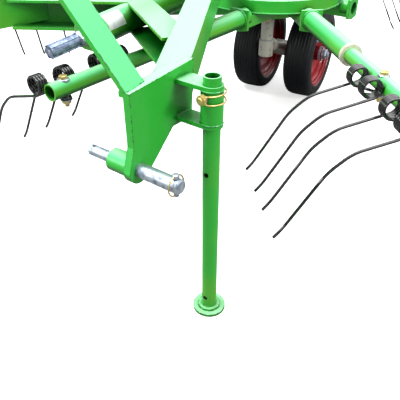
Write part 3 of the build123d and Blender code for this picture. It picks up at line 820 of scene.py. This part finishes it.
# %% [markdown]
# ## Hubs and axle ends
#
# A short turned sleeve covers each hub's end and spins with the wheel. The nut outside it stays
# still with the axle, so it rides on the frame. A thread's end stands out of the nut, with a split
# pin through it.

# %% Dress the hubs
HUB_SLEEVE = ((44, 29), (44, 31), (54, 31), (57, 27), (60.2, 27), (60.2, 13.2), (58, 13.2))
NUT_FACE = 60.4
NUT_R, NUT_HEIGHT = 22.2, 14.6
SPLIT_PIN_X = NUT_FACE + NUT_HEIGHT + 5
SPLIT_PIN_R, SPLIT_PIN_HALF = 1.8, 17

for side, name in ((-1, "left"), (1, "right")):
    sleeve = turned(HUB_SLEEVE, (0, 0, 0), RIGHT, 48, closed=True)
    make_piece(f"hub_sleeve_{name}", [at_wheel(side, sleeve)], ZINC, f"wheel_{name}")
    end = stack(RIGHT * NUT_FACE, RIGHT, (hexagon, NUT_R, NUT_HEIGHT), (round_end, 11.5, 9))
    pin = [(SPLIT_PIN_X, 0, -SPLIT_PIN_HALF), (SPLIT_PIN_X, 0, SPLIT_PIN_HALF)]
    end.append(wire(pin, SPLIT_PIN_R, REAR, 8))
    make_piece(f"axle_end_{name}", [at_wheel(side, shape) for shape in end], ZINC, "frame")

# %% [markdown]
# ## The wheel carrier
#
# The pillar's foot holds a cast arm that reaches back to the axle. A casting has no sharp corners:
# the arm is a wire of changing thickness, run into a boss round the axle and a sleeve round the foot.

# %% Cast the carrier
FOOT_Z = 221.0
ARM_START = np.array([0, 24, FOOT_Z + 42])
AXLE_MIDDLE = np.array([0, WHEEL_Y, WHEEL_R])
CAST_R, CAST_SWELL = 23, 4
BOSS = ((-45, 0), (-45, 30), (-41, 33), (41, 33), (45, 30), (45, 0))
AXLE = ((-175, 0), (-175, 12.4), (175, 12.4), (175, 0))
FOOT_SLEEVE = ((0, 0), (0, 27), (2, 29), (62, 29), (64, 27), (64, 25))


def carrier():
    """The arm, the boss, the axle and the sleeve, in millimetres from the rotor's axis.

    The arm's radius is CAST_R + CAST_SWELL cos(2 pi way): thick at both ends and thin between them.
    """
    way = np.linspace(0, 1, 16)[:, None]
    radius = CAST_R + CAST_SWELL * np.cos(way[:, 0] * 2 * pi)
    arm = wire(ARM_START * (1 - way) + AXLE_MIDDLE * way, radius, RIGHT, 24)
    boss = turned(BOSS, AXLE_MIDDLE, RIGHT, 48)
    axle = turned(AXLE, AXLE_MIDDLE, RIGHT, 32)
    return [arm, boss, axle, turned(FOOT_SLEEVE, UP * FOOT_Z, UP, 48)]


cast = [(from_axis(turn_about(points, WHEEL_TURN)), faces) for points, faces in carrier()]
make_piece("cast_carrier", cast, GREY, "frame", ["wheel_carrier"])

# %% [markdown]
# ## Bolts through the arms
#
# Each double tine hangs on one upright bolt through the arm. On top of the tube sits a broad saddle
# washer with the bolt's head on it. Below, the wire's loop is held by a washer and a nut, and the
# thread's end stands out of the nut.

# %% Bolt the tines on
SADDLE_Z = 16.5
WASHER_Z = -28.9
ON_TOP = (round_end, 15, 6), (hexagon, 11, 7.5)
BELOW = (round_end, 15, 3), (hexagon, 11.5, 9), (round_end, 5.4, 8)

saddles, bolts = [], []
for arm in range(ARM_COUNT):
    for place in TINE_PLACES:
        saddle, head = stack(np.array([place, 0, SADDLE_Z]), UP, *ON_TOP)
        washer, nut, thread = stack(np.array([place, 0, WASHER_Z]), DOWN, *BELOW)
        saddles += [on_arm(shape, arm) for shape in (saddle, washer)]
        bolts += [on_arm(shape, arm) for shape in (head, nut, thread)]
make_piece("tine_saddles", saddles, ZINC, "rotor")
make_piece("tine_bolts", bolts, YELLOW_ZINC, "rotor")

# %% [markdown]
# ## Weld beads
#
# A hand-laid weld is a row of overlapping drops. So it is a wire whose thickness swells and sinks
# every few millimetres along its path. Round joints take a circle as the path and straight ones a
# line. The beads are painted over with the steel they join. The first ones run round the arms, where
# each sleeve ends.

# %% Weld the arms
BEAD_STEP = 2.0
BEAD_RIPPLE = 5.5


def circle(middle, axis, radius, start=0.0, end=2 * pi):
    """Points round a circle, or round a part of it, about an axis."""
    _, across, beside = square_to(axis)
    angle = np.linspace(start, end, 48)[:, None]
    return np.asarray(middle) + radius * (np.cos(angle) * across + np.sin(angle) * beside)


def bead(points, lean, radius=2.8):
    """A weld along the points, which may not run along lean.

    Its radius swells with the way along it: radius (0.8 + 0.3 |sin|), once every BEAD_RIPPLE.
    """
    path = smoothed(points, BEAD_STEP, BEAD_STEP)
    ripple = np.abs(np.sin(np.arange(len(path)) * BEAD_STEP * pi / BEAD_RIPPLE))
    return wire(path, radius * (0.8 + 0.3 * ripple), lean, 6)


SLEEVE_END = 312.0
SLEEVE_R = 30.0

arm_ring = bead(circle((SLEEVE_END + 1, 0, 0), RIGHT, SLEEVE_R + 1), RIGHT, 3.4)
make_piece("arm_welds", [on_arm(arm_ring, arm) for arm in range(ARM_COUNT)], GREEN, "rotor")

# %% [markdown]
# ## Welds on the headstock and the drive tube
#
# The headstock is the same on both sides, so its beads are laid on the right and mirrored: round the
# hitch pin, along the stand's two ears and under the leaning bars. The drive tube climbs five
# degrees towards the rotor, and its two round beads stand square to it.

# %% Weld the frame


def both_sides(shapes):
    """The right-hand surfaces and their mirror images, moved into the frame."""
    return [(from_axis(points * (side, 1, 1)), faces) for points, faces in shapes for side in (1, -1)]


def placed(shapes):
    """Surfaces in millimetres from the rotor's axis, moved into the frame."""
    return [(from_axis(points), faces) for points, faces in shapes]


STAND = np.array([510.0, -1075.0, 0.0])
PIPE_R = 21.5
PLATE_FACE = 441.0
PIN_MIDDLE = np.array([PLATE_FACE, -1203.0, 421.0])
EAR_Z = (489.4, 554.6)
EAR_Y = (-1096, -1054)
EAR_ON_PIPE = (2.2, 5.2)
BAR_Y = (-1213, -1165)
THIN_BEAD = 1.9
DRIVE_WAY = np.array([0.0, cos(radians(5)), sin(radians(5))])
DRIVE_Y, DRIVE_Z = -835.0, 525.0
FLANGE_Y, BOX_Y = -904.0, -126.0
TUBE_WELD_R = 38.8


def drive_point(y):
    """The point on the drive tube's axis at y: it climbs five degrees towards the rotor."""
    return np.array([0.0, y, DRIVE_Z + (y - DRIVE_Y) * DRIVE_WAY[2] / DRIVE_WAY[1]])


welds = []
for z in EAR_Z:
    welds.append(bead([(PLATE_FACE + 0.4, y, z) for y in EAR_Y], UP, THIN_BEAD))
    welds.append(bead(circle(STAND + UP * z, UP, PIPE_R, *EAR_ON_PIPE), UP, THIN_BEAD))
welds.append(bead(circle(PIN_MIDDLE - (16.4, 0, 0), RIGHT, 22.2), RIGHT, 2.4))
welds.append(bead([(420.5, y, z) for y, z in zip(BAR_Y, (573, 577))], UP, 2.2))
welds.append(bead([(39.0, y, 976) for y in BAR_Y], UP))
tube_ends = [circle(drive_point(y), DRIVE_WAY, TUBE_WELD_R) for y in (FLANGE_Y, BOX_Y)]
welds = both_sides(welds) + placed([bead(points, DRIVE_WAY, 3.2) for points in tube_ends])
make_piece("frame_welds", welds, GREEN, "frame")

# %% [markdown]
# ## Linch pins and stand clips
#
# A linch pin drops through the end of each hitch pin, and its sprung ring snaps round. Each parking
# stand is locked by a pin through its sleeve. A bow of golden wire holds that pin: it runs from the
# head round the sleeve in two strands and hooks over the pin's far end.

# %% Bend the clips
LINCH = np.array([527.0, -1203.0, 421.0])
LINCH_RING_R, LINCH_WIRE_R = 20.5, 1.4
LOCK = STAND + (0, 0, 543.0)
BOW_R, BOW_WIRE_R = 25.6, 1.6
BOW_LEAN = (1.0, -2.0, 1.0)


def stand_clip():
    """The wire bow and both ends of the locking pin.

    The bow's strands are BOW_R (cos turn, sin turn), and each climbs a little as it goes round.
    """
    turn = np.linspace(-1.2, 1.35, 30)[:, None]
    round_sleeve = np.hstack([BOW_R * np.cos(turn), BOW_R * np.sin(turn), 0 * turn])
    upper = round_sleeve + (0, 0, 7) + turn * (0, 0, 1.5)
    lower = (round_sleeve + (0, 0, -10) + turn * (0, 0, 1.0))[::-1]
    hook = [(-1, 27, 5), (-4, 28, 0), (-1, 27, -5)]
    head_up, head_down = [(0, -31, 4), (6, -29, 6)], [(6, -29, -8), (0, -31, -5)]
    path = smoothed(np.concatenate([head_up, upper, hook, lower, head_down]), 1.5, 3.0)
    ends = [round_end((0, -35.4, 0), -REAR, 6.5, 4), round_end((0, 21, 0), REAR, 4.6, 13)]
    ends.append(round_end((0, 30, -8), UP, 2.4, 17))
    bow = wire(path, BOW_WIRE_R, BOW_LEAN, 8)
    return [(points + LOCK, faces) for points, faces in (bow, *ends)]


make_piece("stand_clips", both_sides(stand_clip()), YELLOW_ZINC, "frame")

linch = [round_end(LINCH - UP * 22, UP, 4.8, 40), round_end(LINCH + UP * 14.6, UP, 6.5, 9)]
make_piece("linch_pins", both_sides(linch), ZINC, "frame")
linch_ring = wire(circle(LINCH, RIGHT, LINCH_RING_R), LINCH_WIRE_R, RIGHT, 8)
make_piece("linch_rings", both_sides([linch_ring]), YELLOW_ZINC, "frame")

# %% [markdown]
# ## Dish, gearbox and pillar fittings
#
# The dish's edge is rolled into a small bead, and its crown is bolted down. The gearbox has bolts
# round its cover, a breather and an oil plug. The pillar has a seam where its foot starts, a set
# screw and a yellow grease nipple.

# %% Fit the small parts
DISH_R = 268.0
DISH_LOW = 449.0
CROWN_TOP = 516.0
COVER_TOP = 657.0
CAP_TOP = 670.0
BOX_HALF = 95.0
FLANGE_FACE = drive_point(-905) - DRIVE_WAY * 14
# Rings of bolts: the circle's radius, how many bolts, the head's radius and the first one's angle.
CROWN_RING = (92, 8, 9, 0.0)
COVER_RING = (61, 6, 8, 0.0)
FLANGE_RING = (31, 4, 7, 0.8)
PILLAR_SKIN = 24.0
NIPPLE_Z, SEAM_Z, SCREW_Z = 366.0, 286.5, 306.0
SEAM = ((0, 25), (0, 26.9), (1.6, 26.9), (1.6, 25))


def bolts_round(middle, axis, radius, count, size, first):
    """Hexagon heads on washers, evenly round a circle, standing along the axis."""
    axis, across, beside = square_to(axis)
    shapes = []
    for angle in first + np.arange(count) * 2 * pi / count:
        place = middle + radius * (np.cos(angle) * across + np.sin(angle) * beside)
        shapes += stack(place, axis, (round_end, size * 1.25, size * 0.25), (hexagon, size, size * 0.8))
    return shapes


roll = [wire(circle(UP * (DISH_LOW + 3), UP, DISH_R), 3.4, UP, 8)]
make_piece("dish_roll", placed(roll), GREEN, "rotor")
crown = bolts_round(UP * CROWN_TOP, UP, *CROWN_RING)
make_piece("crown_bolts", placed(crown), ZINC, "rotor")

small = bolts_round(UP * COVER_TOP, UP, *COVER_RING)
small += bolts_round(FLANGE_FACE, -DRIVE_WAY, *FLANGE_RING)
small += stack(UP * CAP_TOP, UP, (hexagon, 9, 7), (round_end, 7, 9))
small.append(hexagon((BOX_HALF, 30, 565), RIGHT, 11, 7))
make_piece("gearbox_bolts", placed(small), ZINC, "frame")

nipple_way = unit(np.array([0.45, -1.0, 0.0]))
nipple = stack(nipple_way * PILLAR_SKIN + UP * NIPPLE_Z, nipple_way, (hexagon, 7, 7), (round_end, 4, 6))
make_piece("grease_nipple", placed(nipple), YELLOW_ZINC, "frame")
screw_way = unit(np.array([1.0, -0.5, 0.0]))
screw = round_end(screw_way * PILLAR_SKIN + UP * SCREW_Z, screw_way, 3.6, 3.5)
seam = turned(SEAM, UP * SEAM_Z, UP, 48, closed=True)
make_piece("pillar_seam", placed([seam, screw]), DARK_STEEL, "frame")

# %% [markdown]
# ## The shaft's collar and its grease
#
# A bright collar sits on the splined shaft where it enters its bearing, with amber grease pressed out
# behind it, and the lathe's centre shows on its nose. All of them spin with the shaft. Grease is
# wet and lumpy, so a coarse noise gives its bumps and its two ambers.

# %% Collar and grease
SHAFT_START = FLANGE_FACE - DRIVE_WAY * 0.3
SHAFT_NOSE = drive_point(-1039)
COLLAR = ((0.5, 17), (0.5, 19.8), (27, 19.8), (31, 18), (31, 15.2))
GREASE_LUMP = ((1, 19), (2, 23), (6, 24), (10, 21.5), (12, 19))


def amber_grease():
    """Thick grease: amber, wet, with soft lumps."""
    finish = Finish("amber_grease", Coat_Weight=0.6, Coat_Roughness=0.05)
    lumps = finish.noise(5 * MM, 3)
    finish.wear(
        Base_Color=finish.mix(lumps.smooth(0.4, 0.6), colour(196, 112, 44), colour(120, 62, 22)),
        Roughness=0.3 + lumps * 0.2,
        Normal=finish.bump(lumps, 0.8 * MM),
    )
    return finish.material


collar = turned(COLLAR, SHAFT_START, -DRIVE_WAY, 48, closed=True)
centre = round_end(SHAFT_NOSE, -DRIVE_WAY, 5, 0.8)
make_piece("shaft_collar", placed([collar, centre]), ZINC, "pto")
grease = turned(GREASE_LUMP, SHAFT_START, -DRIVE_WAY, 32, closed=True)
make_piece("grease", placed([grease]), amber_grease(), "pto")

# %% [markdown]
# ## A blank plate
#
# A thin white plate is wrapped over the drive tube's side. A flat one would stand off the round
# tube, so it is bent: an arc just outside the tube's skin and one just under it, joined at the
# edges. It's left blank: only its coat and its shape are made.

# %% Wrap the plate
TUBE_SKIN = 38.0
PLATE_Y = (-871.0, -811.0)
PLATE_ANGLES = (radians(6), radians(73))


def white_coat():
    """A white coat on thin sheet, faintly soiled."""
    finish = Finish("white_coat", Coat_Weight=0.4, Coat_Roughness=0.15)
    soil = finish.noise(20 * MM, 4).smooth(0.5, 0.8)
    finish.wear(
        Base_Color=finish.mix(soil, colour(244, 246, 248), colour(206, 214, 214)),
        Roughness=0.3 + soil * 0.3,
    )
    return finish.material


def wrapped_plate(thick=0.8):
    """A thin plate bent round the drive tube, with its edges closed.

    Each ring goes out over the plate and back under it: radius (cos angle, sin angle) at one y.
    """
    angle = np.linspace(*PLATE_ANGLES, 24)
    angle = np.concatenate([angle, angle[::-1]])[None, :, None]
    skin = np.repeat([TUBE_SKIN + thick, TUBE_SKIN - thick], 24)[None, :, None]
    skin = np.concatenate([np.full_like(skin, TUBE_SKIN), skin, skin, np.full_like(skin, TUBE_SKIN)])
    rows = (PLATE_Y[0], PLATE_Y[0], PLATE_Y[1], PLATE_Y[1])
    middle = np.array([drive_point(y) for y in rows])[:, None]
    upward = np.cross(RIGHT, DRIVE_WAY)
    return rings(middle + skin * (np.cos(angle) * RIGHT + np.sin(angle) * upward))


make_piece("blank_plate", placed([wrapped_plate()]), white_coat(), "frame")

# %% [markdown]
# ## The white world
#
# The photograph is a cut-out on white. So the world is white where the camera looks at it, also in a
# mirror or through clear things. The light that it gives is dim at the sides and stronger overhead,
# and what is mirrored from overhead is brighter still, which draws a line of light along every wire
# and tube. A picture of a sky would do too, but a few levels and two masks are easier to tune.

# %% Set the world
WORLD_LEVEL = 0.25
MIRROR_LEVEL = 1.0
ZENITH_LEVEL = 2.6
ZENITH_BAND = (0.84, 0.96)
GLINT_LEVEL = 4.6
GLINT_BAND = (0.66, 0.92)

world = bpy.data.worlds.new("white")
world.use_nodes = True
bpy.context.scene.world = world
sky = Tree(world.node_tree)
to_camera = sky.node("ShaderNodeLightPath", output="Is Camera Ray")
through = sky.node("ShaderNodeLightPath", output="Is Transmission Ray")
mirrored = sky.node("ShaderNodeLightPath", output="Is Glossy Ray")
seen = to_camera.math("MAXIMUM", to_camera, through)
way = sky.node("ShaderNodeTexCoord", output="Generated")
climb = sky.node("ShaderNodeSeparateXYZ", {}, {"Vector": way}, "Z")
horizon = WORLD_LEVEL + mirrored * (MIRROR_LEVEL - WORLD_LEVEL)
zenith = climb.smooth(*ZENITH_BAND) * ZENITH_LEVEL
glint = climb.smooth(*GLINT_BAND) * mirrored * GLINT_LEVEL
level = seen + (1.0 - seen) * (horizon + zenith + glint)
sky.feed(world.node_tree.nodes["Background"], {"Color": (1, 1, 1, 1), "Strength": level})
print("world nodes:", len(world.node_tree.nodes))

# %% [markdown]
# ## Four lamps
#
# A strong cool lamp above the front does most of the work, and weaker ones on three sides keep the
# other faces from going black. They are wide discs, so that their shadows are soft, and each one is
# turned to look at the middle of the frame.

# %% Hang the lamps
# Each lamp: its name, its place in metres, its disc's diameter, its watts and its colour.
LAMPS = (
    ("key", (-1.2, -2.2, 4.2), 1.8, 200.0, (0.95, 0.99, 1.0)),
    ("fill", (3.9, -0.5, 2.2), 1.2, 74.0, (1.0, 0.98, 0.93)),
    ("front", (-2.4, -4.6, 1.8), 2.0, 60.0, (1.0, 1.0, 0.97)),
    ("back", (0.5, 3.6, 3.2), 3.0, 60.0, (0.96, 0.99, 1.0)),
)

for name, place, size, power, tint in LAMPS:
    lamp = bpy.data.lights.new(name, "AREA")
    lamp.shape = "DISK"
    lamp.size = size
    lamp.energy = power
    lamp.color = tint
    holder = bpy.data.objects.new(name, lamp)
    holder.location = place
    holder.rotation_euler = holder.location.to_track_quat("Z", "Y").to_euler()
    bpy.context.scene.collection.objects.link(holder)
print("lamps:", len(LAMPS))

# %% [markdown]
# ## The floor
#
# The floor has to look white and still show a soft shadow. It glows and is pale for the camera only.
# For all other light it is a middling grey, so it doesn't fill the hollows from below.

# %% Lay the floor
FLOOR_HALF = 14.0
FLOOR_GLOW = (0.62, 0.62, 0.62, 1.0)
FLOOR_SEEN = colour(244, 244, 244)
FLOOR_LIT = colour(150, 150, 150)

floor_finish = Finish("pale_floor", Roughness=0.9, Specular_IOR_Level=0.0, Emission_Strength=1.0)
looked_at = floor_finish.node("ShaderNodeLightPath", output="Is Camera Ray")
floor_finish.wear(
    Base_Color=floor_finish.mix(looked_at, FLOOR_LIT, FLOOR_SEEN),
    Emission_Color=floor_finish.mix(looked_at, (0, 0, 0, 1), FLOOR_GLOW),
)
corners = np.array([(-1, -1, 0), (1, -1, 0), (1, 1, 0), (-1, 1, 0)]) * FLOOR_HALF
floor_mesh = bpy.data.meshes.new("floor")
floor_mesh.from_pydata(corners.tolist(), [], [(0, 1, 2, 3)])
floor_mesh.materials.append(floor_finish.material)
floor = bpy.data.objects.new("floor", floor_mesh)
bpy.context.scene.collection.objects.link(floor)
bpy.context.scene.view_settings.view_transform = "Standard"
print("floor:", 2 * FLOOR_HALF, "m across")

# %% [markdown]
# ## The end
#
# The machine stands dressed, lit and framed.

# %% End
